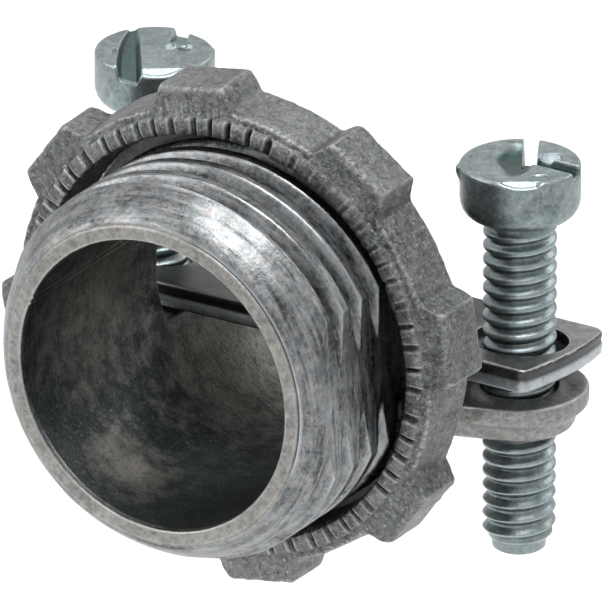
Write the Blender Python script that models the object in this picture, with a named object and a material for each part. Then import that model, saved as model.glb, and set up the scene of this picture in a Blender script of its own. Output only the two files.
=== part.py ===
"""Two-screw clamp connector for a half-inch trade size knockout, with its locknut.

The row frame: the origin is on the bore's axis, in the plane of the shoulder face that seats
against the box wall. -Y points out of the threaded nose, +Z points along the clamp screws to
their heads, and +X is to the right when looking into the nose.
Run it with: blender --background --python part.py
"""

import math

import bmesh
import bpy
from mathutils import Matrix
from mathutils.geometry import convex_hull_2d

MM = 0.001
TAU = 2.0 * math.pi

# Fitting: bore, nose and shoulder
BORE_R = 7.93 * MM
NOSE_LENGTH = 10.9 * MM
RIM_R = 9.3 * MM
THREAD_CREST_R = 10.37 * MM
THREAD_ROOT_R = 9.55 * MM
THREAD_PITCH = 25.4 / 14.0 * MM
THREAD_START_Y = -9.7 * MM
LEAD_R = 9.7 * MM
LEAD_SLOPE = 0.62
THREAD_END_Y = -0.9 * MM
THREAD_PHASE = -9.8 * MM
THREAD_FLAT_X = 9.42 * MM
THREAD_FLAT_TILT = math.radians(3.0)
NOSE_NECK_R = 9.5 * MM
SHOULDER_UPPER_R = 11.3 * MM
SHOULDER_LOWER_R = 11.85 * MM
SHOULDER_THICK = 1.2 * MM
THROAT_R = 9.4 * MM
THROAT_END_Y = 2.5 * MM
SADDLE_END_Y = 11.5 * MM

# Clamp: screws, ears and strap
SCREW_X = 11.09 * MM
SCREW_Y = 7.35 * MM
EAR_TOP_Z = -4.05 * MM
EAR_STEP_Z = -4.95 * MM
EAR_BOTTOM_Z = -6.32 * MM
EAR_PAD_R = 3.63 * MM
EAR_BOSS_R = 2.94 * MM
EAR_HOLE_R = 2.25 * MM
# Where each ear's web meets the saddle's wall, as (x, front y, back y)
PAD_ROOT = (7.0 * MM, 1.8 * MM, 11.2 * MM)
BOSS_ROOT = (6.5 * MM, 3.1 * MM, 10.9 * MM)
STRAP_HALF_LENGTH = 13.81 * MM
STRAP_HALF_WIDTH = 4.1 * MM
STRAP_THICK = 1.3 * MM
STRAP_TOP_Z = -1.6 * MM
STRAP_HOLE_R = 2.53 * MM
STRAP_TILT = math.radians(-4.2)
STRAP_FRONT_CORNER_R = 0.35 * MM
STRAP_BACK_CORNER_R = 0.5 * MM
STRAP_END_BOW = 0.45 * MM
GAP = 0.3 * MM

# Clamp screws, modelled with the head's underside at their own zero
HEAD_R = 3.14 * MM
HEAD_HEIGHT = 2.96 * MM
SHANK_LENGTH = 18.7 * MM
SCREW_CREST_R = 1.92 * MM
SCREW_ROOT_R = 1.6 * MM
SCREW_PITCH = 25.4 / 32.0 * MM
SLOT_WIDTH = 1.15 * MM
SLOT_DEPTH = 1.0 * MM
CROSS_LENGTH = 4.9 * MM
RIGHT_HEAD_Z = 5.43 * MM
LEFT_HEAD_Z = 6.84 * MM
RIGHT_SLOT_ANGLE = math.radians(112.0)
LEFT_SLOT_ANGLE = math.radians(93.0)

# Locknut, loose on the thread and hanging a little to the left of the bore's axis
NUT_X = -0.25 * MM
NUT_BORE_R = 10.9 * MM
NUT_ROOT_R = 12.65 * MM
NUT_LUG_R = 13.8 * MM
NUT_FRONT_Y = -3.4 * MM
NUT_BACK_Y = -0.3 * MM
NUT_COLLAR_RISE = 0.3 * MM
NUT_COLLAR_R = 12.0 * MM
LUG_COUNT = 8
LUG_OFFSET = math.radians(-9.0)
LUG_TOP_HALF = math.radians(7.5)
LUG_FOOT_HALF = math.radians(11.5)

NOSE_SEGMENTS = 48
NUT_SEGMENTS = 120
SCREW_SEGMENTS = 16
NOSE_RINGS_PER_PITCH = 4
SCREW_RINGS_PER_PITCH = 3
SMOOTH_ANGLE = math.radians(35.0)


def clear_scene():
    """Remove whatever the scene starts with."""
    for obj in list(bpy.data.objects):
        bpy.data.objects.remove(obj, do_unlink=True)


def material(name, colour, roughness, metallic):
    """A plain Principled material."""
    mat = bpy.data.materials.new(name)
    mat.use_nodes = True
    shader = mat.node_tree.nodes["Principled BSDF"]
    shader.inputs["Base Color"].default_value = (*colour, 1.0)
    shader.inputs["Roughness"].default_value = roughness
    shader.inputs["Metallic"].default_value = metallic
    return mat


def new_object(name, bm, mat=None):
    """Turn a bmesh into an object with its faces pointing out, shaded smooth up to its edges."""
    bmesh.ops.recalc_face_normals(bm, faces=bm.faces[:])
    mesh = bpy.data.meshes.new(name)
    bm.to_mesh(mesh)
    bm.free()
    mesh.shade_smooth()
    mesh.set_sharp_from_angle(angle=SMOOTH_ANGLE)
    obj = bpy.data.objects.new(name, mesh)
    bpy.context.collection.objects.link(obj)
    if mat:
        obj.data.materials.append(mat)
    return obj


def join_rings(bm, lower, upper):
    """Faces between two rings with the same number of points."""
    count = len(lower)
    for i in range(count):
        after = (i + 1) % count
        bm.faces.new((lower[i], lower[after], upper[after], upper[i]))


def ring_mesh(stations, segments, point, closed):
    """Rings through the stations. point(station, angle) gives a place; closed joins last to first."""
    bm = bmesh.new()
    angles = [TAU * i / segments for i in range(segments)]
    rings = [[bm.verts.new(point(s, a)) for a in angles] for s in stations]
    for lower, upper in zip(rings, rings[1:]):
        join_rings(bm, lower, upper)
    if closed:
        join_rings(bm, rings[-1], rings[0])
    else:
        bm.faces.new(rings[0])
        bm.faces.new(rings[-1])
    return bm


def prism_mesh(outline, low, high):
    """An outline in X and Y, raised from z = low to z = high."""
    bm = bmesh.new()
    bottom = [bm.verts.new((x, y, low)) for x, y in outline]
    top = [bm.verts.new((x, y, high)) for x, y in outline]
    join_rings(bm, bottom, top)
    bm.faces.new(bottom)
    bm.faces.new(top)
    return bm


def arc(cx, cy, radius, start, end, steps):
    """Points on an arc, both ends included."""
    turns = [start + (end - start) * i / steps for i in range(steps + 1)]
    return [(cx + radius * math.cos(t), cy + radius * math.sin(t)) for t in turns]


def combine(target, tool, operation):
    """Add a Boolean, and keep its tool as a hidden guide."""
    tool.hide_render = True
    tool.display_type = "WIRE"
    step = target.modifiers.new(f"{operation.title()} {tool.name}", "BOOLEAN")
    step.operation = operation
    step.solver = "EXACT"
    step.object = tool


def thread_form(turn, root_share, crest_share):
    """Height over one pitch: 1 on the crest's flat, 0 in the root, with straight flanks."""
    from_root = abs(2.0 * (turn % 1.0) - 1.0)
    return min(1.0, max(0.0, (from_root - root_share) / (1.0 - root_share - crest_share)))


def nose_radius(y, angle):
    """Cast right-hand thread, tapered at the lead and cut down by a flat on each side."""
    turn = (y - THREAD_PHASE) / THREAD_PITCH - angle / TAU + 0.5
    form = thread_form(turn, 0.15, 0.35)
    lead = LEAD_R + LEAD_SLOPE * (y - THREAD_START_Y)
    radius = min(lead, THREAD_ROOT_R + (THREAD_CREST_R - THREAD_ROOT_R) * form)
    for centre in (TAU / 4 - THREAD_FLAT_TILT, THREAD_FLAT_TILT - TAU / 4):
        facing = math.cos(angle - centre)
        if facing > 0.5:
            radius = min(radius, THREAD_FLAT_X / facing)
    return radius


def shoulder_radius(angle):
    """The seating shoulder is a little wider round its lower half."""
    lower = min(1.0, max(0.0, -8.0 * math.cos(angle) + 0.2))
    return SHOULDER_UPPER_R + (SHOULDER_LOWER_R - SHOULDER_UPPER_R) * lower


def hub_stations():
    """The hub's section as (y, radius rule) pairs, out over the nose and back through the bore."""
    edge = 0.2 * MM

    def fixed(radius):
        return lambda y, angle: radius

    def shoulder(inset):
        return lambda y, angle: shoulder_radius(angle) - inset

    rim = -NOSE_LENGTH
    stations = [
        (rim + 1.2 * edge, fixed(BORE_R)),
        (rim, fixed(BORE_R + 1.8 * edge)),
        (rim, fixed(RIM_R - 2.6 * edge)),
        (rim + 2.0 * edge, fixed(RIM_R)),
    ]
    step = THREAD_PITCH / NOSE_RINGS_PER_PITCH
    count = math.ceil((THREAD_END_Y - THREAD_START_Y) / step)
    for i in range(count + 1):
        y = THREAD_START_Y + (THREAD_END_Y - THREAD_START_Y) * i / count
        stations.append((y, nose_radius))
    stations += [
        (THREAD_END_Y + 2.0 * edge, fixed(NOSE_NECK_R)),
        (0.0, fixed(NOSE_NECK_R)),
        (0.0, shoulder(edge)),
        (edge, shoulder(0.0)),
        (SHOULDER_THICK - edge, shoulder(0.0)),
        (SHOULDER_THICK, shoulder(edge)),
        (SHOULDER_THICK, fixed(THROAT_R)),
        (SADDLE_END_Y - edge, fixed(THROAT_R)),
        (SADDLE_END_Y, fixed(THROAT_R - edge)),
        (SADDLE_END_Y, fixed(BORE_R)),
    ]
    return stations


def hub_point(station, angle):
    y, rule = station
    radius = rule(y, angle)
    return (radius * math.sin(angle), y, radius * math.cos(angle))


def strap_underside(y):
    """Height of the strap's underside at y, along its slight backward tilt."""
    middle = STRAP_TOP_Z - STRAP_THICK
    return middle + (y - SCREW_Y) * math.tan(STRAP_TILT)


def throat_cutter():
    """The space above the saddle, from the throat's end back, down to just under the strap."""
    bm = bmesh.new()
    half = 2 * BORE_R
    back = SADDLE_END_Y + 1.0 * MM
    side = [
        (THROAT_END_Y, half),
        (THROAT_END_Y, strap_underside(THROAT_END_Y) - GAP),
        (back, strap_underside(back) - GAP),
        (back, half),
    ]
    left, right = ([bm.verts.new((x, y, z)) for y, z in side] for x in (-half, half))
    join_rings(bm, left, right)
    bm.faces.new(left)
    bm.faces.new(right)
    return new_object("throat opening", bm)


def ear_outline(side, radius, root):
    """Round pad about the screw, drawn in to its root on the saddle's wall."""
    x, front, back = root
    points = arc(side * SCREW_X, SCREW_Y, radius, 0.0, TAU * 31 / 32, 31)
    points += [(side * x, front), (side * x, back)]
    return [points[i] for i in convex_hull_2d(points)]


def connector_body(mat):
    """The one die casting: threaded nose, shoulder, throat, saddle and the two screw ears."""
    hub = ring_mesh(hub_stations(), NOSE_SEGMENTS, hub_point, closed=True)
    body = new_object("connector_body", hub, mat)
    combine(body, throat_cutter(), "DIFFERENCE")
    overlap = 0.2 * MM
    for side, word in ((-1, "left"), (1, "right")):
        pad = prism_mesh(ear_outline(side, EAR_PAD_R, PAD_ROOT), EAR_STEP_Z, EAR_TOP_Z)
        combine(body, new_object(f"{word} ear pad", pad), "UNION")
        boss_outline = ear_outline(side, EAR_BOSS_R, BOSS_ROOT)
        boss = prism_mesh(boss_outline, EAR_BOTTOM_Z, EAR_STEP_Z + overlap)
        combine(body, new_object(f"{word} ear boss", boss), "UNION")
        hole_outline = arc(side * SCREW_X, SCREW_Y, EAR_HOLE_R, 0.0, TAU * 23 / 24, 23)
        hole = prism_mesh(hole_outline, EAR_BOTTOM_Z - 1.0 * MM, EAR_TOP_Z + 1.0 * MM)
        combine(body, new_object(f"{word} ear hole", hole), "DIFFERENCE")
    return body


def lug_height(angle):
    """1 over a locknut lug, 0 between lugs, with sloped flanks."""
    spacing = TAU / LUG_COUNT
    off = abs((angle - LUG_OFFSET + spacing / 2) % spacing - spacing / 2)
    return min(1.0, max(0.0, (LUG_FOOT_HALF - off) / (LUG_FOOT_HALF - LUG_TOP_HALF)))


def nut_point(station, angle):
    """Locknut section: flat back, chamfered lugs, and a raised collar with radial serrations."""
    place, y = station
    lug = lug_height(angle)
    outer = NUT_ROOT_R + (NUT_LUG_R - NUT_ROOT_R) * lug
    groove = round(angle / TAU * NUT_SEGMENTS) % 2 * NUT_COLLAR_RISE
    radius = {
        "bore": NUT_BORE_R,
        "mouth": NUT_BORE_R + 0.25 * MM,
        "collar": NUT_COLLAR_R - 0.15 * MM,
        "face": NUT_COLLAR_R,
        "edge": outer - 0.35 * MM,
        "outer": outer,
    }[place]
    if place in ("mouth", "collar"):
        y += groove
    return (NUT_X + radius * math.sin(angle), y, radius * math.cos(angle))


def locknut(mat):
    """Die-cast locknut with eight driving lugs."""
    collar_y = NUT_FRONT_Y - NUT_COLLAR_RISE
    bevel = 0.35 * MM
    stations = [
        ("bore", collar_y + 1.6 * bevel),
        ("mouth", collar_y),
        ("collar", collar_y),
        ("face", NUT_FRONT_Y),
        ("edge", NUT_FRONT_Y),
        ("outer", NUT_FRONT_Y + bevel),
        ("outer", NUT_BACK_Y - bevel),
        ("edge", NUT_BACK_Y),
        ("bore", NUT_BACK_Y),
    ]
    return new_object("locknut", ring_mesh(stations, NUT_SEGMENTS, nut_point, closed=True), mat)


def strap_outline():
    """Rectangle about its own middle with small corners, its two ends bowed out a little."""
    length, width = STRAP_HALF_LENGTH, STRAP_HALF_WIDTH
    front, back = STRAP_FRONT_CORNER_R, STRAP_BACK_CORNER_R
    quarter = TAU / 4
    end = arc(length - front, front - width, front, -quarter, 0.0, 3)
    end += [(length, width * share) for share in (-0.6, -0.3, 0.0, 0.3, 0.6)]
    end += arc(length - back, width - back, back, 0.0, quarter, 3)
    end = [(x + STRAP_END_BOW * (1.0 - (y / width) ** 2), y) for x, y in end]
    return end + [(-x, y) for x, y in reversed(end)]


def clamp_strap(mat):
    """Stamped flat strap with two clearance holes, resting at a slight tilt on the saddle's walls."""
    half = STRAP_THICK / 2
    strap = new_object("clamp_strap", prism_mesh(strap_outline(), -half, half), mat)
    place = Matrix.Translation((0.0, SCREW_Y, STRAP_TOP_Z - half))
    place = place @ Matrix.Rotation(STRAP_TILT, 4, "X")
    for side, word in ((-1, "left"), (1, "right")):
        outline = arc(side * SCREW_X, 0.0, STRAP_HOLE_R, 0.0, TAU * 31 / 32, 31)
        hole = new_object(f"{word} strap hole", prism_mesh(outline, -2 * half, 2 * half))
        hole.matrix_world = place
        combine(strap, hole, "DIFFERENCE")
    strap.matrix_world = place
    return strap


def shank_radius(z, angle):
    """Rolled right-hand screw thread."""
    form = thread_form(z / SCREW_PITCH - angle / TAU, 0.1, 0.2)
    return SCREW_ROOT_R + (SCREW_CREST_R - SCREW_ROOT_R) * form


def screw_stations():
    """Section of a clamp screw from its chamfered tip up to its head, as (z, radius rule) pairs."""

    def fixed(radius):
        return lambda z, angle: radius

    tip = -SHANK_LENGTH
    chamfer = 0.5 * MM
    neck = 0.35 * MM
    thread_low = tip + chamfer
    thread_high = -2 * neck
    step = SCREW_PITCH / SCREW_RINGS_PER_PITCH
    count = math.ceil((thread_high - thread_low) / step)
    stations = [(tip, fixed(SCREW_ROOT_R - 0.3 * MM))]
    for i in range(count + 1):
        stations.append((thread_low + (thread_high - thread_low) * i / count, shank_radius))
    stations += [
        (-neck, fixed(SCREW_ROOT_R)),
        (0.0, fixed(SCREW_ROOT_R)),
        (0.0, fixed(HEAD_R - 0.7 * MM)),
        (0.2 * MM, fixed(HEAD_R - 0.2 * MM)),
        (0.6 * MM, fixed(HEAD_R)),
        (HEAD_HEIGHT - 0.35 * MM, fixed(HEAD_R)),
        (HEAD_HEIGHT - 0.1 * MM, fixed(HEAD_R - 0.12 * MM)),
        (HEAD_HEIGHT, fixed(HEAD_R - 0.4 * MM)),
    ]
    return stations


def screw_point(station, angle):
    z, rule = station
    radius = rule(z, angle)
    return (radius * math.cos(angle), radius * math.sin(angle), z)


def bar(length, width, angle):
    """Outline of a bar across the head, turned by angle."""
    corners = ((-1, -1), (1, -1), (1, 1), (-1, 1))
    c, s = math.cos(angle), math.sin(angle)
    halves = [(a * length / 2, b * width / 2) for a, b in corners]
    return [(x * c - y * s, x * s + y * c) for x, y in halves]


def clamp_screw(word, side, head_z, slot_angle, mat):
    """Fillister-head machine screw with a through slot and a shorter crossing recess."""
    mesh = ring_mesh(screw_stations(), SCREW_SEGMENTS, screw_point, closed=False)
    screw = new_object(f"screw_{word}", mesh, mat)
    place = Matrix.Translation((side * SCREW_X, SCREW_Y, head_z))
    cuts = (
        ("slot", 3 * HEAD_R, slot_angle, SLOT_DEPTH),
        ("cross recess", CROSS_LENGTH, slot_angle + TAU / 4, 0.8 * SLOT_DEPTH),
    )
    for cut, length, angle, depth in cuts:
        floor = HEAD_HEIGHT - depth
        tool = prism_mesh(bar(length, SLOT_WIDTH, angle), floor, HEAD_HEIGHT + 1.0 * MM)
        tool = new_object(f"{word} screw {cut}", tool)
        tool.matrix_world = place
        combine(screw, tool, "DIFFERENCE")
    screw.matrix_world = place
    return screw


def main():
    clear_scene()
    cast_zinc = material("die_cast_zinc", (0.46, 0.46, 0.46), 0.45, 0.85)
    nut_zinc = material("rough_cast_zinc", (0.36, 0.36, 0.36), 0.55, 0.8)
    plated = material("zinc_plated_steel", (0.5, 0.57, 0.58), 0.3, 0.95)
    sheared = material("sheared_steel", (0.45, 0.46, 0.47), 0.4, 0.9)
    connector_body(cast_zinc)
    locknut(nut_zinc)
    clamp_strap(sheared)
    clamp_screw("left", -1, LEFT_HEAD_Z, LEFT_SLOT_ANGLE, plated)
    clamp_screw("right", 1, RIGHT_HEAD_Z, RIGHT_SLOT_ANGLE, plated)


main()
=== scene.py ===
"""Looks for the two-screw clamp connector: detailed castings and screws built round the CAD frame.

Everything is in the CAD's row frame. Shapes are worked out in millimetres and turned into metres
when a piece is finished. Angles round the bore are measured from +Z towards +X.
"""

import math

import bmesh
import bpy
import numpy as np
from mathutils import Matrix, Vector
from mathutils.geometry import convex_hull_2d


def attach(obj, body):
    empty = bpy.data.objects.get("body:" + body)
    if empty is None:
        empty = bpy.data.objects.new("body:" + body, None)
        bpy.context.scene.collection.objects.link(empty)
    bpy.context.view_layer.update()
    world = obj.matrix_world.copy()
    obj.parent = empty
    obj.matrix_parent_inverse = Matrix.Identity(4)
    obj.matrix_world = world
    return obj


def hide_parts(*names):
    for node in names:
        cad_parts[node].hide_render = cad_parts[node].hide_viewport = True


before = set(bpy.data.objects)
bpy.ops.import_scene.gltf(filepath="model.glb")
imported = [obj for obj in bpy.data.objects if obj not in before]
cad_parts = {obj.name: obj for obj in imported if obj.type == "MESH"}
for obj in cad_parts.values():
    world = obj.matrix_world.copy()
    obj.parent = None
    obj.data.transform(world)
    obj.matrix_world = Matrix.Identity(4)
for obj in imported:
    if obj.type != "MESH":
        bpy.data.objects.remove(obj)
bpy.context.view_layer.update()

TAU = 2.0 * math.pi
MM = 0.001

# Sizes in millimetres. They are the CAD's, apart from the lead on the thread, the ears' holes, which
# fit closer here, and the small details that the CAD leaves out
BORE_R = 7.93
BORE_RIDGES = (291.6, 294.4)  # degrees round the bore
BORE_RIDGE_RISE = 0.07
NOSE_LENGTH = 10.9
THREAD_CREST_R = 10.37
THREAD_ROOT_R = 9.55
THREAD_PITCH = 25.4 / 14.0
THREAD_PHASE = -9.8
THREAD_START_Y = -9.6
THREAD_END_Y = -0.9
LEAD_R = 9.79
LEAD_SLOPE = 0.62
FLAT_X = 9.42
FLAT_TILT = math.radians(3.0)
NECK_R = 9.5
SHOULDER_UPPER_R = 11.3
SHOULDER_LOWER_R = 11.85
SHOULDER_THICK = 1.2
THROAT_R = 9.4
THROAT_END_Y = 2.5
SADDLE_END_Y = 11.5
SCREW_X = 11.09
SCREW_Y = 7.35
EAR_TOP_Z = -4.05
EAR_BOTTOM_Z = -6.32
EAR_PAD_R = 3.63
EAR_BOSS_R = 2.94
EAR_HOLE_R = 2.06
STRAP_HALF_LENGTH = 13.81
STRAP_HALF_WIDTH = 4.1
STRAP_THICK = 1.3
STRAP_TOP_Z = -1.6
STRAP_TILT = math.radians(-4.2)
STRAP_HOLE_R = 2.53
STRAP_END_BOW = 0.45
HEAD_R = 3.14
HEAD_HEIGHT = 2.96
HEAD_CORNER_R = 0.2
HEAD_WALL_Z = 1.05
SHANK_LENGTH = 18.7
SHANK_NECK_R = 1.62
WORN_FROM_Z = -15.5
SCREW_CREST_R = 1.92
SCREW_ROOT_R = 1.6
SCREW_PITCH = 25.4 / 32.0
SCREW_PHASE = 0.3
RIGHT_HEAD_Z = 5.43
LEFT_HEAD_Z = 6.84
NUT_X = -0.25
NUT_BORE_R = 10.9
NUT_ROOT_R = 12.65
NUT_LUG_R = 13.8
NUT_FRONT_Y = -3.4
NUT_BACK_Y = -0.3
NUT_COLLAR_RISE = 0.3
LUG_SPACING = TAU / 8
LUG_OFFSET = math.radians(-9.0)
LUG_FOOT_HALF = math.radians(11.5)
LUG_FLANK = math.radians(3.6)
LUG_TIP_HALF = math.radians(8.0)
LUG_SOFTNESS = 0.55  # degrees
GROOVES = 60

# The camera stands far off, so the view is nearly parallel. It looks at a point beside and above
# the middle of the rim
CAMERA_DISTANCE = 1200.0
CAMERA_AZIMUTH = math.radians(31.5)
CAMERA_ELEVATION = math.radians(23.5)
VIEW_WIDTH = 31.2
VIEW_RIGHT = 7.835
VIEW_UP = 4.242

FLOOR_HALF = 2.0  # metres
FLOOR_Z = -0.05


def smoothstep(t):
    t = np.clip(t, 0.0, 1.0)
    return t * t * (3.0 - 2.0 * t)


def round_angles(around):
    return np.arange(around) * TAU / around


def degrees_past(angle, centre):
    """How far each angle is past the centre, which is in degrees: from -180 to 180."""
    return np.mod(np.degrees(angle) - centre + 180.0, 360.0) - 180.0


def bore_ring(angle, r, y, x=0.0):
    """Points round the bore's direction. r and y are numbers, or vary with the angle."""
    return np.stack([x + r * np.sin(angle), y + 0.0 * angle, r * np.cos(angle)], -1)


def upright_ring(angle, r, z):
    """Points round a screw's axis. r and z are numbers, or vary with the angle."""
    return np.stack([r * np.cos(angle), r * np.sin(angle), z + 0.0 * angle], -1)


def face_outward(mesh):
    bm = bmesh.new()
    bm.from_mesh(mesh)
    bmesh.ops.recalc_face_normals(bm, faces=bm.faces[:])
    bm.to_mesh(mesh)
    bm.free()


def finish_mesh(obj, mats, sharp=None):
    """Metres, smooth shading, outward faces and materials."""
    mesh = obj.data
    face_outward(mesh)
    mesh.transform(Matrix.Scale(MM, 4))
    mesh.shade_smooth()
    if sharp is not None:
        mesh.set_sharp_from_angle(angle=math.radians(sharp))
    mesh.materials.clear()
    for mat in mats:
        mesh.materials.append(mat)
    measure_bend(mesh)


def measure_bend(mesh, rounds=2):
    """Store each vertex's curvature as the attribute bend, in 1/mm: above 0 on ridges, below in hollows."""
    shortest = 0.04
    count = len(mesh.vertices)
    place, normal = np.zeros(count * 3), np.zeros(count * 3)
    mesh.vertices.foreach_get("co", place)
    mesh.vertices.foreach_get("normal", normal)
    place, normal = place.reshape(-1, 3) / MM, normal.reshape(-1, 3)
    ends = np.zeros(len(mesh.edges) * 2, np.int64)
    mesh.edges.foreach_get("vertices", ends)
    a, b = ends.reshape(-1, 2).T
    step = place[a] - place[b]
    square = np.maximum((step * step).sum(-1), shortest ** 2)
    links = np.maximum(np.bincount(a, minlength=count) + np.bincount(b, minlength=count), 1)
    bend = (np.bincount(a, (step * normal[a]).sum(-1) / square, count)
            - np.bincount(b, (step * normal[b]).sum(-1) / square, count)) / links
    for _ in range(rounds):
        nearby = (np.bincount(a, bend[b], count) + np.bincount(b, bend[a], count)) / links
        bend = 0.5 * bend + 0.5 * nearby
    store(mesh, "bend", bend)


def mesh_object(name, verts, faces):
    mesh = bpy.data.meshes.new(name)
    mesh.from_pydata(verts, [], faces)
    obj = bpy.data.objects.new(name, mesh)
    bpy.context.scene.collection.objects.link(obj)
    return obj


def grid_object(name, rings, closed=True, capped=False):
    """Rings of points (stations x around x 3) as a tube, closed on itself or capped at its ends."""
    n, m = rings.shape[:2]
    i = np.arange(n if closed else n - 1)[:, None]
    j = np.arange(m)[None, :]
    after = (j + 1) % m
    up = (i + 1) % n
    faces = np.stack([i * m + j, i * m + after, up * m + after, up * m + j], -1)
    faces = faces.reshape(-1, 4).tolist()
    if capped:
        faces.append(list(range(m)))
        faces.append(list(range((n - 1) * m, n * m)))
    return mesh_object(name, rings.reshape(-1, 3).tolist(), faces)


def prism(name, outline, low, high):
    """An outline in x and y made solid between two heights."""
    n = len(outline)
    verts = [(x, y, low) for x, y in outline] + [(x, y, high) for x, y in outline]
    faces = [[i, (i + 1) % n, n + (i + 1) % n, n + i] for i in range(n)]
    faces += [list(range(n)), list(range(n, 2 * n))]
    obj = mesh_object(name, verts, faces)
    face_outward(obj.data)
    return obj


def arc(cx, cy, radius, start, end, steps):
    turns = [start + (end - start) * i / steps for i in range(steps + 1)]
    return [(cx + radius * math.cos(t), cy + radius * math.sin(t)) for t in turns]


def circle(cx, cy, radius, sides=64):
    return arc(cx, cy, radius, 0.0, TAU * (sides - 1) / sides, sides - 1)


def apply_all(obj):
    """Bake an object's modifiers into its mesh."""
    graph = bpy.context.evaluated_depsgraph_get()
    mesh = bpy.data.meshes.new_from_object(obj.evaluated_get(graph))
    obj.modifiers.clear()
    obj.data = mesh


def boolean(target, tools, operation):
    """Boolean each tool into the target, then drop the tools."""
    for tool in tools:
        step = target.modifiers.new("cut", "BOOLEAN")
        step.operation = operation
        step.solver = "EXACT"
        step.object = tool
    apply_all(target)
    for tool in tools:
        bpy.data.objects.remove(tool, do_unlink=True)


def remesh(obj, voxel, smooth):
    """Melt an object's parts into one skin with soft edges."""
    step = obj.modifiers.new("cast skin", "REMESH")
    step.mode = "VOXEL"
    step.voxel_size = voxel
    step.adaptivity = 0.0
    soft = obj.modifiers.new("soft edges", "SMOOTH")
    soft.factor = 0.5
    soft.iterations = smooth
    apply_all(obj)


def lumps(obj, size, height):
    """Shallow unevenness of a casting's skin."""
    texture = bpy.data.textures.new(obj.name + "_lumps", "CLOUDS")
    texture.noise_scale = size
    texture.noise_depth = 2
    step = obj.modifiers.new("lumps", "DISPLACE")
    step.texture = texture
    step.texture_coords = "LOCAL"
    step.strength = height
    step.mid_level = 0.5
    apply_all(obj)


def join(first, second):
    """Join the second object's mesh into the first's."""
    bm = bmesh.new()
    for obj in (first, second):
        bm.from_mesh(obj.data)
    bm.to_mesh(first.data)
    bm.free()
    bpy.data.objects.remove(second, do_unlink=True)


def store(mesh, name, values):
    """Keep one number for each vertex as an attribute."""
    mesh.attributes.new(name, "FLOAT", "POINT").data.foreach_set("value", np.asarray(values, np.float32))


# --- Materials -----------------------------------------------------------------------------------


class Nodes:
    """Small helper for writing a node tree."""

    def __init__(self, mat):
        self.tree = mat.node_tree
        self.tree.nodes.clear()

    def add(self, kind, inputs=None, **settings):
        node = self.tree.nodes.new(kind)
        for key, value in settings.items():
            setattr(node, key, value)
        for key, value in (inputs or {}).items():
            self.plug(value, node.inputs[key])
        return node

    def plug(self, value, socket):
        if isinstance(value, bpy.types.NodeSocket):
            self.tree.links.new(value, socket)
        else:
            socket.default_value = value

    def noise(self, where, scale, detail=4.0, rough=0.6, distortion=0.0):
        inputs = {"Vector": where, "Scale": scale, "Detail": detail, "Roughness": rough,
                  "Distortion": distortion}
        return self.add("ShaderNodeTexNoise", inputs).outputs["Fac"]

    def math(self, operation, a, b=0.0, c=0.0, clamp=False):
        inputs = {0: a, 1: b, 2: c}
        return self.add("ShaderNodeMath", inputs, operation=operation, use_clamp=clamp).outputs[0]

    def spread(self, value, low, high, to_low=0.0, to_high=1.0):
        inputs = {"Value": value, "From Min": low, "From Max": high, "To Min": to_low, "To Max": to_high}
        return self.add("ShaderNodeMapRange", inputs, clamp=True).outputs["Result"]

    def mix(self, factor, a, b, blend="MIX"):
        node = self.add("ShaderNodeMix", data_type="RGBA", blend_type=blend)
        self.plug(factor, node.inputs[0])
        self.plug(a, node.inputs[6])
        self.plug(b, node.inputs[7])
        return node.outputs[2]


def grey(value, tint=(1.0, 1.0, 1.0)):
    return tuple(value * t for t in tint) + (1.0,)


# Pale warm colour for painted pools of light on the shaded bore wall.
LIGHT_POOL_COLOUR = grey(0.26, (1.06, 1.0, 0.88))
PAINTED_SHADE_COLOUR = grey(0.02)
FLECK_COLOUR = grey(0.85)


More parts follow.
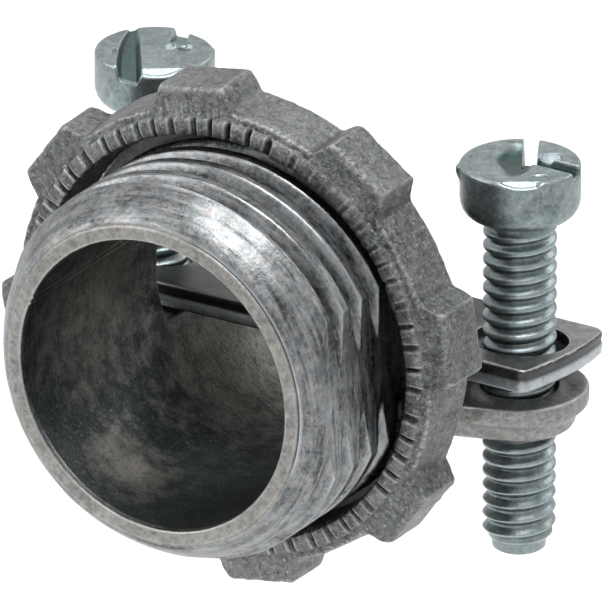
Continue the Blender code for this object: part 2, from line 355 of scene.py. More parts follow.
def metal(name, dark, light, roughness, grain=4.0, grain_bump=0.02, mottle=1.3, streaks=0.0,
          speck=0.3, edge=0.4, cavity_shade=0.5, fleck=0.0, hue_shift=0.5, recess=None, light_pools=(), painted_shade_reach=None):
    """Metal with grain, mottling, streaks round the bore, a painted highlight on ridges that is partly edge
    wear, and painted shade in hollows.

    dark and light are the colours it varies between. Grain and mottle are in cells to the millimetre.
    recess is the colour where the attribute recess is 1: painted shade in the screws' recesses, and the strap
    edge's pale torn band, partly painted light. The pale places, as (x, y, z, radius), are painted pools of
    light.
    The last argument is how far to each side of the middle the metal is painted dark, a painted shade.
    """
    mat = bpy.data.materials.new(name)
    mat.use_nodes = True
    n = Nodes(mat)
    place = n.add("ShaderNodeTexCoord").outputs["Object"]
    mm = n.add("ShaderNodeMapping", {"Vector": place, "Scale": (1000.0, 1000.0, 1000.0)}).outputs[0]
    round_bore = n.add("ShaderNodeMapping", {"Vector": place, "Scale": (240.0, 2600.0, 240.0)}).outputs[0]

    fine = n.noise(mm, grain, 5.0, 0.7)
    medium = n.noise(mm, mottle, 4.0, 0.65, 0.3)
    wide = n.noise(mm, 0.3, 3.0, 0.55, 0.6)
    streak = n.noise(round_bore, 1.0, 5.0, 0.7, 0.5)
    speckle = n.noise(mm, grain * 1.6, 2.0, 0.5)
    hue = n.noise(mm, 2.1, 3.0, 0.6)

    tone = n.math("MULTIPLY", n.spread(fine, 0.32, 0.68), 0.4)
    tone = n.math("MULTIPLY_ADD", n.spread(medium, 0.34, 0.66), 0.36, tone)
    tone = n.math("MULTIPLY_ADD", n.spread(wide, 0.36, 0.64), 0.24, tone)
    tone = n.math("MULTIPLY_ADD", n.math("SUBTRACT", streak, 0.5), streaks * 2.0, tone, clamp=True)
    colour = n.mix(tone, dark, light)
    cool = (1.0 - 0.12 * hue_shift, 1.0, 1.0 + 0.06 * hue_shift, 1)
    warm = (1.0 + 0.1 * hue_shift, 1.0, 1.0 - 0.08 * hue_shift, 1)
    colour = n.mix(n.spread(hue, 0.35, 0.65), n.mix(1.0, colour, cool, "MULTIPLY"),
                   n.mix(1.0, colour, warm, "MULTIPLY"))
    # Painted pools of light: pale patches where the bore wall looks lit.
    for x, y, z, radius in light_pools:
        away = n.add("ShaderNodeVectorMath", {0: mm, 1: (x, y, z)}, operation="DISTANCE").outputs["Value"]
        away = n.math("MULTIPLY_ADD", n.math("SUBTRACT", medium, 0.5), -2.5 * radius, away)
        pale = n.math("MULTIPLY", n.spread(away, 1.25 * radius, 0.0), n.spread(fine, 0.3, 0.6, 0.5, 1.0))
        colour = n.mix(pale, colour, LIGHT_POOL_COLOUR)
    # Painted shade: the strap's middle is painted dark where it lies in shade under the clamp.
    if painted_shade_reach is not None:
        x = n.math("ABSOLUTE", n.add("ShaderNodeSeparateXYZ", {"Vector": mm}).outputs["X"])
        colour = n.mix(n.spread(x, painted_shade_reach, painted_shade_reach - 1.5, 0.0, 0.8), colour, PAINTED_SHADE_COLOUR)
    # Where the recess attribute is 1 the colour is painted: painted shade in the screws' recesses, the pale
    # torn band on the strap's edge.
    if recess is not None:
        sunk = n.add("ShaderNodeAttribute", attribute_name="recess").outputs["Fac"]
        colour = n.mix(sunk, colour, n.mix(tone, recess, grey(2.2, recess[:3])))
    pits = n.math("MULTIPLY", n.spread(speckle, 0.4, 0.32), speck)
    # One dark colour for the pits, which are real, and for the painted shade in hollows.
    pit_and_shade_colour = grey(0.25 * dark[0])
    colour = n.mix(pits, colour, pit_and_shade_colour)
    colour = n.mix(n.math("MULTIPLY", n.spread(speckle, 0.62, 0.7), fleck), colour, FLECK_COLOUR)

    # Ridges are painted lighter by their curvature: a painted highlight, partly edge wear.
    bend = n.add("ShaderNodeAttribute", attribute_name="bend").outputs["Fac"]
    ridge = n.math("MULTIPLY", n.spread(bend, 0.5, 2.2), edge)
    # Hollows are painted dark by their curvature: painted shade.
    hollow_shade = n.math("MULTIPLY", n.spread(bend, -0.4, -2.0), cavity_shade)
    ridge_highlight_colour = tuple(min(1.0, 1.6 * c) for c in light)
    colour = n.mix(ridge, colour, ridge_highlight_colour)
    colour = n.mix(hollow_shade, colour, pit_and_shade_colour)

    rough = n.math("MULTIPLY_ADD", n.math("SUBTRACT", fine, 0.5), 0.35, roughness)
    rough = n.math("MULTIPLY_ADD", n.math("SUBTRACT", streak, 0.5), 0.5 * streaks, rough)
    rough = n.math("SUBTRACT", rough, n.math("MULTIPLY", ridge, 0.12), clamp=True)

    height = n.math("MULTIPLY_ADD", medium, 1.2, fine)
    height = n.math("MULTIPLY_ADD", streak, streaks, height)
    bump = n.add("ShaderNodeBump", {"Height": height, "Strength": 1.0, "Distance": grain_bump * MM})
    inputs = {"Base Color": colour, "Metallic": 1.0, "Roughness": rough, "Normal": bump.outputs[0]}
    shader = n.add("ShaderNodeBsdfPrincipled", inputs)
    n.add("ShaderNodeOutputMaterial", {"Surface": shader.outputs[0]})
    return mat


NOSE_ZINC = metal("nose_zinc", grey(0.05, (0.92, 1.0, 1.04)), grey(0.38, (0.98, 1.0, 1.02)), 0.34,
                  grain=3.6, grain_bump=0.022, mottle=0.8, streaks=1.0, speck=0.35, edge=0.6, hue_shift=0.6)
RIM_ZINC = metal("rim_zinc", grey(0.12, (1.0, 1.0, 0.96)), grey(0.4, (1.02, 1.0, 0.96)), 0.46,
                 grain=4.0, grain_bump=0.02, mottle=2.0, speck=0.3)
CAST_ZINC = metal("cast_zinc", grey(0.1), grey(0.42, (1.01, 1.0, 0.98)), 0.5, grain=4.0, grain_bump=0.025,
                  mottle=2.2, speck=0.4)
NUT_ZINC = metal("nut_zinc", grey(0.03, (0.96, 1.0, 1.02)), grey(0.28, (0.98, 1.0, 1.01)), 0.44, grain=4.5,
                 grain_bump=0.05, mottle=2.4, speck=0.5, edge=0.8, cavity_shade=0.8, fleck=0.25, hue_shift=0.35)
# The bore's material is a darker copy of the zinc: painted shade inside the bore.
BORE_SHADE_ZINC = metal("bore_painted_shade", grey(0.016, (0.75, 1.0, 1.04)), grey(0.09, (0.88, 1.0, 1.0)), 0.48,
                  grain=3.6, grain_bump=0.04, mottle=0.8, speck=0.5, edge=0.2, fleck=0.1, hue_shift=0.3,
                  light_pools=((-7.9, -3.6, 1.6, 5.6), (-3.7, -6.8, -7.0, 2.4), (-5.0, 6.2, -6.0, 6.0)))
# Both strap materials are painted dark over the strap's middle, a painted shade.
STRAP_STEEL = metal("strap_steel", grey(0.08, (0.9, 1.0, 1.05)), grey(0.34), 0.42, grain=3.6,
                    grain_bump=0.012, painted_shade_reach=9.4)
# The edge material is darker: a painted dark reflection on the smooth upper band of the sheared edge.
STRAP_EDGE = metal("strap_edge", grey(0.03, (0.9, 1.0, 1.02)), grey(0.1), 0.4, grain=4.0, grain_bump=0.01,
                   painted_shade_reach=9.4, recess=grey(0.25, (0.93, 1.0, 1.05)))
# The screws' recess colour is painted shade: dark teal in the heads' slots and scoops.
SCREW_ZINC = metal("screw_zinc", grey(0.12, (0.82, 1.0, 1.0)), grey(0.42, (0.86, 1.0, 1.03)), 0.35,
                   grain=4.0, grain_bump=0.014, mottle=1.8, edge=0.3, cavity_shade=0.5,
                   recess=grey(0.05, (0.55, 1.0, 0.93)))


# --- Body ----------------------------------------------------------------------------------------


def thread_form(turn, root_share, crest_share, soft):
    """Height over one pitch, 0 in the root to 1 on the crest, with softened corners."""
    from_root = np.abs(2.0 * np.mod(turn, 1.0) - 1.0)
    t = (from_root - root_share) / (1.0 - root_share - crest_share)
    return (1 - soft) * np.clip(t, 0, 1) + soft * smoothstep(t)


def fillet(corners, steps=6):
    """A profile with each corner rounded. Corners are (y, radius, rounding), the ends kept sharp."""
    points = [np.array(corners[0][:2], float)]
    for before, here, after in zip(corners, corners[1:], corners[2:]):
        p = np.array(here[:2], float)
        a = np.array(before[:2], float) - p
        b = np.array(after[:2], float) - p
        reach = min(here[2], 0.48 * np.linalg.norm(a), 0.48 * np.linalg.norm(b))
        start = p + a / np.linalg.norm(a) * reach
        end = p + b / np.linalg.norm(b) * reach
        for t in np.linspace(0.0, 1.0, steps + 1):
            points.append((1 - t) ** 2 * start + 2 * t * (1 - t) * p + t * t * end)
    points.append(np.array(corners[-1][:2], float))
    return points


def span(angle, start, end, soft):
    """1 between two angles in degrees, fading over soft degrees at each end."""
    middle, half = (start + end) / 2, (end - start) / 2
    return smoothstep((half - np.abs(degrees_past(angle, middle))) / soft + 0.5)


def nose_rings(around=640):
    """Stations along the nose's outside from the rim back, then forward through the bore."""
    angle = round_angles(around)
    ridge = sum(BORE_RIDGE_RISE * np.exp(-(degrees_past(angle, middle) / 0.75) ** 2)
                for middle in BORE_RIDGES)
    bore = BORE_R - ridge
    stations = [(y, bore) for y in (-9.0, -10.3, -10.42)]

    # The rim, and the crease round it that is deep on the right only
    for y, r in fillet([(-10.5, BORE_R, 0), (-NOSE_LENGTH, BORE_R + 0.05, 0.16), (-NOSE_LENGTH, 8.3, 0)]):
        blend = smoothstep((r - BORE_R) / 0.2)
        stations.append((y, r - ridge * (1 - blend)))
    stations += [(-NOSE_LENGTH, 8.5), (-10.895, 8.62), (-10.87, 8.69), (-10.83, 8.735)]
    crease = 0.006 + 0.07 * span(angle, 18.0, 108.0, 16.0)
    for y, r, share in ((-10.8, 8.765, 0.7), (-10.79, 8.79, 1.0), (-10.78, 8.82, 0.6), (-10.765, 8.85, 0.15)):
        stations.append((y + crease * share, r))
    stations += [(-10.74, 8.9), (-10.68, 9.0), (-10.6, 9.09), (-10.5, 9.19), (-10.42, 9.26), (-10.3, 9.35),
                 (-10.2, 9.42), (-10.08, 9.5), (-9.95, 9.58), (-9.82, 9.66), (-9.7, 9.73)]

    # The thread, fading in along a conical lead and cut by two flats
    thread_length = THREAD_END_Y - THREAD_START_Y
    count = int(thread_length / (THREAD_PITCH / 20))
    for i in range(count + 1):
        along = thread_length * i / count
        y = THREAD_START_Y + along
        turn = (y - THREAD_PHASE) / THREAD_PITCH - angle / TAU + 0.5
        lead = LEAD_R + LEAD_SLOPE * along
        radius = THREAD_ROOT_R + (THREAD_CREST_R - THREAD_ROOT_R) * thread_form(turn, 0.12, 0.36, 0.35)
        radius = np.minimum(radius, lead)
        fade = smoothstep((along + 0.15) / 1.2)
        radius = radius * fade + (1 - fade) * min(lead, THREAD_CREST_R)
        for centre in (TAU / 4 - FLAT_TILT, FLAT_TILT - TAU / 4):
            facing = np.cos(angle - centre)
            radius = np.where(facing > 0.5, np.minimum(radius, FLAT_X / np.maximum(facing, 0.5)), radius)
        stations.append((y, radius))
    stations += [(-0.6, NECK_R), (0.3, NECK_R), (0.5, 9.3), (0.5, 8.2)]
    stations += [(y, bore) for y in (0.5, 0.48, 0.3, -3.0, -6.0)]
    return np.array([bore_ring(angle, r, y) for y, r in stations])


def strap_underside(y):
    return STRAP_TOP_Z - STRAP_THICK + (y - SCREW_Y) * math.tan(STRAP_TILT)


def clamp_end():
    """Shoulder, throat, saddle and ears, with the soft corners of a casting."""
    angle = round_angles(144)
    lower = np.clip(-8.0 * np.cos(angle) + 0.2, 0.0, 1.0)
    shoulder = SHOULDER_UPPER_R + (SHOULDER_LOWER_R - SHOULDER_UPPER_R) * lower
    inner = BORE_R + 0.01
    stations = [
        (-0.5, inner), (-0.5, NECK_R), (0.0, NECK_R), (0.0, shoulder - 0.12), (0.12, shoulder),
        (SHOULDER_THICK - 0.12, shoulder), (SHOULDER_THICK, shoulder - 0.12), (SHOULDER_THICK, THROAT_R),
        (SADDLE_END_Y - 0.2, THROAT_R), (SADDLE_END_Y, THROAT_R - 0.2), (SADDLE_END_Y, inner),
    ]
    body = grid_object("connector_clamp_end", np.array([bore_ring(angle, r, y) for y, r in stations]))
    face_outward(body.data)

    # Everything over the saddle is open, down to a little under the strap
    back, high, gap = SADDLE_END_Y + 1.0, 16.0, 0.3
    side = [(THROAT_END_Y, high), (THROAT_END_Y, strap_underside(THROAT_END_Y) - gap),
            (back, strap_underside(back) - gap), (back, high)]
    opening = prism("opening", side, -high, high)
    opening.data.transform(Matrix(((0, 0, 1, 0), (1, 0, 0, 0), (0, 1, 0, 0), (0, 0, 0, 1))))
    boolean(body, [opening], "DIFFERENCE")

    ears = [ear(s) for s in (-1, 1)]
    holes = [prism("hole", circle(s * SCREW_X, SCREW_Y, EAR_HOLE_R), -8.0, -3.0) for s in (-1, 1)]
    boolean(body, ears, "UNION")
    boolean(body, holes, "DIFFERENCE")
    return body


def ear_outline(s, radius, root, around=128):
    """Round pad drawn in to its root on the saddle, as points on rays from inside it."""
    x, front, rear = root
    points = circle(s * SCREW_X, SCREW_Y, radius) + [(s * x, front), (s * x, rear)]
    hull = np.array([points[i] for i in convex_hull_2d(points)])
    centre = np.array([s * 10.0, 7.0])
    turn = round_angles(around)
    rays = np.stack([np.cos(turn), np.sin(turn)], -1)
    after = np.roll(hull, -1, axis=0)
    normal = np.stack([after[:, 1] - hull[:, 1], hull[:, 0] - after[:, 0]], -1)
    away = ((hull - centre) * normal).sum(-1)
    normal = normal * np.sign(away)[:, None]
    facing = rays @ normal.T
    reach = np.where(facing > 1e-9, np.abs(away) / np.maximum(facing, 1e-9), 1e9).min(-1)
    return centre + rays * reach[:, None]


def ear(s):
    """A screw ear: a pad on top rounding in to a narrower boss."""
    pad, boss = (7.0, 1.8, 11.2), (6.5, 3.1, 10.9)
    # Each level is a height, how far from pad to boss, and how far drawn in
    levels = [(EAR_TOP_Z, 0.0, 0.12), (EAR_TOP_Z - 0.05, 0.0, 0.03), (EAR_TOP_Z - 0.15, 0.0, 0.0),
              (-4.75, 0.0, 0.02), (-4.95, 0.06, 0.0), (-5.1, 0.2, 0.0), (-5.25, 0.45, 0.0), (-5.4, 0.7, 0.0),
              (-5.55, 0.86, 0.0), (-5.75, 0.96, 0.0), (-6.0, 1.0, 0.03), (-6.17, 1.0, 0.14),
              (-6.27, 1.0, 0.34), (EAR_BOTTOM_Z, 1.0, 0.62)]
    rings = []
    for z, share, inset in levels:
        root = [a + (b - a) * share for a, b in zip(pad, boss)]
        radius = EAR_PAD_R + (EAR_BOSS_R - EAR_PAD_R) * share - inset
        outline = ear_outline(s, radius, root)
        rings.append(np.column_stack([outline, np.full(len(outline), z)]))
    obj = grid_object("ear", np.array(rings), closed=False, capped=True)
    face_outward(obj.data)
    return obj


def bore_faces(obj):
    """Give the bore's surface its own material, the second slot: painted shade inside the bore."""
    limit = BORE_R + 0.13
    front = 0.28 - NOSE_LENGTH
    for face in obj.data.polygons:
        c = face.center / MM
        if math.hypot(c.x, c.z) < limit and c.y > front:
            face.material_index = 1


def build_body():
    nose = grid_object("connector_nose", nose_rings())
    lumps(nose, 1.6, 0.03)
    finish_mesh(nose, [NOSE_ZINC, BORE_SHADE_ZINC, RIM_ZINC])
    bore_faces(nose)
    rim_back = 0.13 - NOSE_LENGTH
    for face in nose.data.polygons:
        if face.center.y / MM < rim_back and face.material_index == 0:
            face.material_index = 2
    end = clamp_end()
    remesh(end, 0.125, 3)
    lumps(end, 1.5, 0.05)
    finish_mesh(end, [CAST_ZINC, BORE_SHADE_ZINC])
    bore_faces(end)
    for piece in (nose, end):
        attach(piece, "connector")
    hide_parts("connector_body")


# --- Locknut -------------------------------------------------------------------------------------


def lug_shape(angle):
    """The lug's rise, 0 to 1, and its tip's radius, which follows a chord. Both are softened."""
    off = np.abs(np.mod(angle - LUG_OFFSET + LUG_SPACING / 2, LUG_SPACING) - LUG_SPACING / 2)
    ramp = np.clip((LUG_FOOT_HALF - off) / LUG_FLANK, 0.0, 1.0)
    rise = 0.6 * ramp + 0.4 * smoothstep(ramp)
    tip = NUT_LUG_R * math.cos(LUG_TIP_HALF) / np.cos(np.minimum(off, LUG_TIP_HALF))
    reach = 12
    kernel = np.exp(-(np.arange(-reach, reach + 1) * 360.0 / len(angle) / LUG_SOFTNESS) ** 2)
    kernel /= kernel.sum()
    return [np.convolve(np.concatenate([v[-reach:], v, v[:reach]]), kernel, "valid") for v in (rise, tip)]


def groove_shape(angle):
    """How deep the collar's radial grooves are, 0 to 1. They wander, and are worn away on the right."""
    wobble = 0.16 * np.sin(5.0 * angle + 1.0) + 0.1 * np.sin(13.0 * angle) + 0.07 * np.sin(23.0 * angle + 2.0)
    turn = np.mod(angle / TAU * GROOVES + wobble, 1.0)
    worn = (1.0 - 0.72 * span(angle, 18.0, 74.0, 16.0)) * (1.0 - 0.3 * span(angle, 95.0, 200.0, 30.0))
    uneven = 0.8 + 0.2 * np.sin(7.0 * angle + 0.7)
    return (1.0 - smoothstep((np.abs(turn - 0.5) * 2.0 - 0.04) / 0.36)) * uneven * worn


def build_locknut(around=1440):
    angle = round_angles(around)
    lug, tip_radius = lug_shape(angle)
    depth = 1.3 * NUT_COLLAR_RISE * groove_shape(angle)
    edge = 0.2 + 0.16 * lug
    collar = NUT_FRONT_Y - NUT_COLLAR_RISE

    def outer(inset, y):
        """The outline at y, tapering a little from back to front."""
        taper = (y - NUT_BACK_Y) / (NUT_FRONT_Y - NUT_BACK_Y)
        root = NUT_ROOT_R + 0.12 - 0.3 * taper
        tip = tip_radius - 0.04 * taper
        return (root + (tip - root) * lug - inset, y)

    # Forward through the bore, out over the grooved collar, back along the lugs and in again
    rows = [
        (NUT_BORE_R, -1.4), (NUT_BORE_R, -2.6), (NUT_BORE_R + 0.04, -3.0), (NUT_BORE_R + 0.12, collar + 0.32),
        (NUT_BORE_R + 0.15, collar + 0.24 + 0.5 * depth), (NUT_BORE_R + 0.2, collar + 0.07 + 0.9 * depth),
        (NUT_BORE_R + 0.27, collar + depth), (11.4, collar + depth), (11.75, collar + 0.02 + 0.9 * depth),
        (11.95, collar + 0.08 + 0.6 * depth), (12.06, collar + 0.2 + 0.2 * depth), (12.12, NUT_FRONT_Y),
        outer(1.15 * edge, NUT_FRONT_Y), outer(edge, NUT_FRONT_Y + 0.01),
        outer(0.62 * edge, NUT_FRONT_Y + 0.1 * edge), outer(0.28 * edge, NUT_FRONT_Y + 0.34 * edge),
        outer(0.07 * edge, NUT_FRONT_Y + 0.68 * edge), outer(0.0, NUT_FRONT_Y + 1.1 * edge),
        outer(0.0, -2.4), outer(0.0, -1.6), outer(0.0, NUT_BACK_Y - 0.3), outer(0.02, NUT_BACK_Y - 0.13),
        outer(0.08, NUT_BACK_Y - 0.03), outer(0.16, NUT_BACK_Y),
        (12.0, NUT_BACK_Y), (11.4, NUT_BACK_Y), (NUT_BORE_R + 0.15, NUT_BACK_Y),
        (NUT_BORE_R + 0.03, NUT_BACK_Y - 0.1), (NUT_BORE_R, NUT_BACK_Y - 0.3),
    ]
    nut = grid_object("locknut_cast", np.array([bore_ring(angle, r, y, NUT_X) for r, y in rows]))
    lumps(nut, 0.5, 0.12)
    finish_mesh(nut, [NUT_ZINC], sharp=60)
    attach(nut, "locknut")
    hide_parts("locknut")


# --- Strap ---------------------------------------------------------------------------------------


def strap_outline(inset):
    """The strap's outline drawn in by inset. Its ends bow out a little."""
    length, width = STRAP_HALF_LENGTH - inset, STRAP_HALF_WIDTH - inset
    front, rear, quarter = 0.35, 0.5, TAU / 4
    end = arc(length - front, front - width, front, -quarter, 0.0, 8)
    end += [(length, y) for y in np.linspace(front - width, width - rear, 16)[1:-1]]
    end += arc(length - rear, width - rear, rear, 0.0, quarter, 8)
    end = [(x + STRAP_END_BOW * (1.0 - (y / width) ** 2), y) for x, y in end]
    return end + [(-x, y) for x, y in reversed(end)]


def build_strap():
    half = STRAP_THICK / 2
    # Each level is a height and how far the outline is drawn in: rolled over on top, sheared below
    levels = [(half, 0.3), (half, 0.2), (half - 0.03, 0.09), (half - 0.1, 0.04), (half - 0.2, 0.02),
              (0.1, 0.06), (0.02, 0.07), (-0.06, 0.0), (-0.3, 0.0), (0.08 - half, 0.03),
              (0.02 - half, 0.08), (-half, 0.16)]
    rings = []
    for z, inset in levels:
        outline = np.array(strap_outline(inset))
        rings.append(np.column_stack([outline, np.full(len(outline), z)]))
    strap = grid_object("clamp_strap_stamped", np.array(rings), closed=False, capped=True)
    face_outward(strap.data)
    holes = [prism("hole", circle(s * SCREW_X, 0.0, STRAP_HOLE_R), -1.0, 1.0) for s in (-1, 1)]
    boolean(strap, holes, "DIFFERENCE")
    remesh(strap, 0.09, 1)
    lumps(strap, 1.6, 0.04)
    finish_mesh(strap, [STRAP_STEEL, STRAP_EDGE])
    # Steep faces get the darker edge material, a painted dark reflection.
    for face in strap.data.polygons:
        if abs(face.normal.z) < 0.6:
            face.material_index = 1
    # The lower half of the sheared edge is torn and pale, which the recess colour shows; the paleness is
    # partly painted light.
    torn = [min(1.0, max(0.0, 0.5 - v.co.z / (0.14 * MM))) for v in strap.data.vertices]
    store(strap.data, "recess", torn)
    strap.data.transform(Matrix.Translation((0.0, SCREW_Y * MM, (STRAP_TOP_Z - half) * MM))
                         @ Matrix.Rotation(STRAP_TILT, 4, "X"))
    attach(strap, "strap")
    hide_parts("clamp_strap")


# --- Screws --------------------------------------------------------------------------------------


def shank(around=72, per_pitch=12):
    """Threaded shank from its chamfered tip up into the head, sharp near the tip and worn above."""
    angle = round_angles(around)
    low, high = 0.55 - SHANK_LENGTH, -0.55
    count = int((high - low) / SCREW_PITCH * per_pitch)
    stations = [(-SHANK_LENGTH, 0.9), (-SHANK_LENGTH, 1.25), (0.12 - SHANK_LENGTH, 1.4)]
    for i in range(count + 1):
        z = low + (high - low) * i / count
        worn = smoothstep((z - WORN_FROM_Z) / 1.5)
        turn = z / SCREW_PITCH - angle / TAU - SCREW_PHASE
        form = thread_form(turn, 0.05 + 0.12 * (1 - worn), 0.16 * worn, 0.15 + 0.65 * worn)
        chamfer = 1.45 + 0.9 * (z - low)
        stations.append((z, np.minimum(SCREW_ROOT_R + (SCREW_CREST_R - SCREW_ROOT_R) * form, chamfer)))
    stations += [(-0.3, SHANK_NECK_R), (0.3, SHANK_NECK_R)]
    rings = np.array([upright_ring(angle, r, z) for z, r in stations])
    return grid_object("shank", rings, closed=False, capped=True)


def groove(across, back, start, end, half_width, soft):
    """1 inside a straight groove, falling to 0 over soft at its walls, and how far along it is."""
    run, rise = end[0] - start[0], end[1] - start[1]
    length = math.hypot(run, rise)
    along = ((across - start[0]) * run + (back - start[1]) * rise) / length
    off = np.abs((across - start[0]) * rise - (back - start[1]) * run) / length
    inside = smoothstep((half_width - off) / soft)
    inside *= smoothstep(along / soft) * smoothstep((length - along) / soft)
    return inside, along / length


def dent(across, back, centre, size, power):
    """1 at the middle of an oval, 0 outside it."""
    off = ((across - centre[0]) / size[0]) ** 2 + ((back - centre[1]) / size[1]) ** 2
    return smoothstep(1.0 - off ** (power / 2))


def right_top(across, back):
    """Right head's top: a half slot behind, a scoop on the left, an arm to the right, a flat in front."""
    slot, _ = groove(across, back, (0.42, -0.38), (0.66, 4.0), 0.4, 0.07)
    arm, way = groove(across, back, (0.7, 0.25), (3.4, -1.4), 0.56, 0.16)
    scoop = dent(across + 0.12 * np.sin(2.2 * back), back, (-0.35, 0.2), (1.0, 2.4), 2.0)
    nick = dent(across, back, (1.6, 0.7), (0.66, 0.5), 6.0)
    mark = dent(across, back, (0.95, -1.9), (0.5, 0.22), 4.0)
    ripple = 0.012 * np.sin(6.0 * across + 2.0 * back) * np.sin(4.0 * back - 1.5 * across)
    top = ripple - 0.3 * scoop - nick * np.clip(0.34 * (1.15 - back), 0.0, 0.4) - 0.1 * mark
    top = np.minimum(top, -arm * (0.34 + 0.3 * way / 3.0))
    top = np.minimum(top, -1.5 * slot)
    # The recess mask marks where the head is painted with painted shade.
    recess = np.maximum(smoothstep(1.3 * scoop), np.maximum(slot, arm * smoothstep((2.9 - way) / 0.6)))
    facet = 0.75 * np.maximum(0.0, -2.64 - back + 0.05 * across)
    facet *= smoothstep((1.2 - np.abs(across + 0.05)) / 0.4)
    return top - facet, recess


def left_top(across, back):
    """Left head's top: a trough on the left, a notch behind on the right, a flat in front."""
    lean = across + 0.04 * back
    reach = np.clip((back + 3.1) / 6.0, 0.0, 1.0)
    left_edge = -2.15 + 0.2 * reach + 0.75 * reach ** 3
    right_edge = -0.82 + 0.1 * reach
    inside = smoothstep((right_edge + 0.1 - lean) / 0.34)
    slope = np.clip((lean - left_edge) / (0.22 * (right_edge - left_edge)), 0.0, 1.0)
    bowl = smoothstep(slope) * inside
    trough = bowl * (0.72 - 0.6 * reach)
    notch, _ = groove(across, back, (1.15, 0.9), (1.62, 4.0), 0.46, 0.14)
    right_lobe = smoothstep((across - 1.0) / 0.3) * smoothstep((back - 0.1) / 0.6)
    pit = dent(across, back, (1.5, 0.25), (0.5, 0.6), 4.0)
    chip = dent(across, back, (0.8, 0.3), (0.34, 0.4), 6.0)
    nip = dent(across, back, (1.85, 0.65), (0.3, 0.36), 6.0)
    ledge = dent(across, back, (-2.1, -0.35), (0.16, 0.55), 4.0)
    ripple = 0.014 * np.sin(5.0 * across + 2.6 * back) * np.sin(4.4 * back - 1.2 * across)
    top = (ripple - 0.16 * right_lobe - 0.12 * pit - 0.3 * chip * np.clip(0.75 - back, 0.0, 0.6)
           - 0.3 * nip * np.clip(1.1 - back, 0.0, 0.6) - 0.08 * ledge)
    top = np.minimum(top, -trough)
    top = np.minimum(top, -0.44 * notch)
    # The recess mask marks where the head is painted with painted shade.
    recess = np.maximum(bowl * 0.9, np.maximum(0.8 * pit, 0.3 * notch))
    facet = np.maximum(0.0, -2.6 - back + 0.03 * across) * 0.75 * smoothstep((across + 1.0) / 0.4)
    return top - facet, recess


def screw_head(top_rule, flare, around=480, across_steps=84):
    """Head as rings: up the rounded side, over the rim and in to the middle of the sculpted top.

    The top's rule is in the view's directions: across to the right, and back. Returns the head and
    how deep in a recess each vertex is. flare is a burr on the rim: (degrees, height).
    """
    angle = round_angles(around)
    sine, cosine = math.sin(CAMERA_AZIMUTH), math.cos(CAMERA_AZIMUTH)
    corner, shelf = HEAD_CORNER_R, HEAD_HEIGHT - HEAD_CORNER_R
    off = degrees_past(angle, math.degrees(CAMERA_AZIMUTH) + flare[0])
    burr = flare[1] * (0.55 * np.exp(-(off / 4.5) ** 2) + 0.45 * np.exp(-(off / 13.0) ** 2))
    rings, sunk = [], []

    def add(r, z, recess=0.0):
        lift = smoothstep((z - HEAD_HEIGHT + 1.1) / 0.8) * smoothstep((r - 2.4) / 0.5)
        rings.append(upright_ring(angle, r + burr * lift, z))
        sunk.append(recess + np.zeros(around))

    def top_at(r):
        x, y = r * np.cos(angle), r * np.sin(angle)
        return top_rule(x * cosine + y * sine, y * cosine - x * sine)

    for z, r in ((0.0, 1.5), (0.0, 2.1), (0.03, 2.35), (0.1, 2.56), (0.22, 2.76), (0.38, 2.92), (0.58, 3.04),
                 (0.82, 3.11), (HEAD_WALL_Z, HEAD_R)):
        add(r, z)
    rim, rim_recess = top_at(HEAD_R - corner)
    for share in (0.15, 0.3, 0.45, 0.6, 0.75, 0.87, 0.95):
        add(HEAD_R, HEAD_WALL_Z + (shelf + rim - HEAD_WALL_Z) * share)
    for step in range(9):
        t = TAU / 4 * step / 8
        add(HEAD_R - corner + corner * math.cos(t), shelf + rim + corner * math.sin(t), rim_recess * step / 8)
    for i in range(1, across_steps):
        r = (HEAD_R - corner) * (1.0 - i / across_steps)
        height, recess = top_at(r)
        add(r, HEAD_HEIGHT + height, recess)
    return grid_object("head", np.array(rings), closed=False, capped=True), np.array(sunk).ravel()


def build_screw(word, side, head_z, top_rule, flare):
    screw, sunk = screw_head(top_rule, flare)
    join(screw, shank())
    screw.name = f"screw_{word}_plated"
    screw.data.transform(Matrix.Translation((side * SCREW_X, SCREW_Y, head_z)))
    finish_mesh(screw, [SCREW_ZINC])
    # The recess values mark where the material paints painted shade.
    recess = np.zeros(len(screw.data.vertices))
    recess[:len(sunk)] = np.clip(sunk, 0.0, 1.0)
    store(screw.data, "recess", recess)
    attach(screw, f"{word}_screw")
    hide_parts(f"screw_{word}")


# --- Stage ---------------------------------------------------------------------------------------


def area_light(name, place, width, height, radiance):
    """A soft rectangular light aimed at the origin. Places and sizes are in millimetres."""
    data = bpy.data.lights.new(name, "AREA")
    data.shape = "RECTANGLE"
    data.size = width * MM
    data.size_y = height * MM
    data.energy = radiance * math.pi * width * height * MM * MM
    light = bpy.data.objects.new(name, data)
    bpy.context.scene.collection.objects.link(light)
    light.location = Vector(place) * MM
    light.rotation_euler = (-Vector(place)).to_track_quat("-Z", "Y").to_euler()


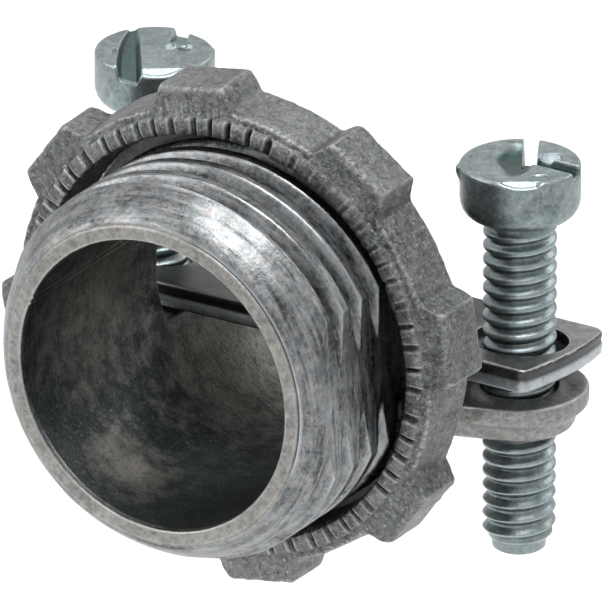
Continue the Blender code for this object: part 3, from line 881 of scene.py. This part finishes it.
def build_stage():
    corners = [(sx * FLOOR_HALF, sy * FLOOR_HALF, FLOOR_Z) for sx, sy in ((-1, -1), (1, -1), (1, 1), (-1, 1))]
    floor = mesh_object("floor", corners, [(0, 1, 2, 3)])
    mat = bpy.data.materials.new("pale_floor")
    mat.use_nodes = True
    n = Nodes(mat)
    shader = n.add("ShaderNodeBsdfPrincipled", {"Base Color": (0.93, 0.93, 0.93, 1), "Roughness": 0.9})
    n.add("ShaderNodeOutputMaterial", {"Surface": shader.outputs[0]})
    floor.data.materials.append(mat)

    world = bpy.data.worlds.new("studio")
    bpy.context.scene.world = world
    world.use_nodes = True
    background = world.node_tree.nodes["Background"]
    background.inputs["Color"].default_value = (1.0, 1.0, 1.0, 1.0)
    background.inputs["Strength"].default_value = 0.9

    area_light("overhead", (40, -20, 190), 90, 90, 9.0)
    area_light("back_right", (90, 190, 130), 90, 60, 4.0)
    area_light("behind", (-60, 100, 190), 60, 60, 6.0)
    area_light("left", (-150, -100, 110), 120, 120, 3.2)
    bpy.context.scene.view_settings.view_transform = "Standard"


def build_camera():
    turn, tilt = CAMERA_AZIMUTH, CAMERA_ELEVATION
    right = Vector((math.cos(turn), math.sin(turn), 0))
    up = Vector((-math.sin(turn) * math.sin(tilt), math.cos(turn) * math.sin(tilt), math.cos(tilt)))
    back = right.cross(up)
    target = Vector((0, -NOSE_LENGTH, 0)) + VIEW_RIGHT * right + VIEW_UP * up
    data = bpy.data.cameras.new("camera")
    data.sensor_width = 36.0
    data.lens = 36.0 * CAMERA_DISTANCE / VIEW_WIDTH
    data.clip_start = 0.005
    data.clip_end = 50.0
    camera = bpy.data.objects.new("camera", data)
    bpy.context.scene.collection.objects.link(camera)
    camera.matrix_world = Matrix((
        (right.x, up.x, back.x, 0), (right.y, up.y, back.y, 0), (right.z, up.z, back.z, 0), (0, 0, 0, 1)))
    camera.location = (target + CAMERA_DISTANCE * back) * MM
    bpy.context.scene.camera = camera


build_body()
build_locknut()
build_strap()
build_screw("right", 1, RIGHT_HEAD_Z, right_top, (186.0, 0.22))
build_screw("left", -1, LEFT_HEAD_Z, left_top, (0.0, 0.0))
build_stage()
build_camera()
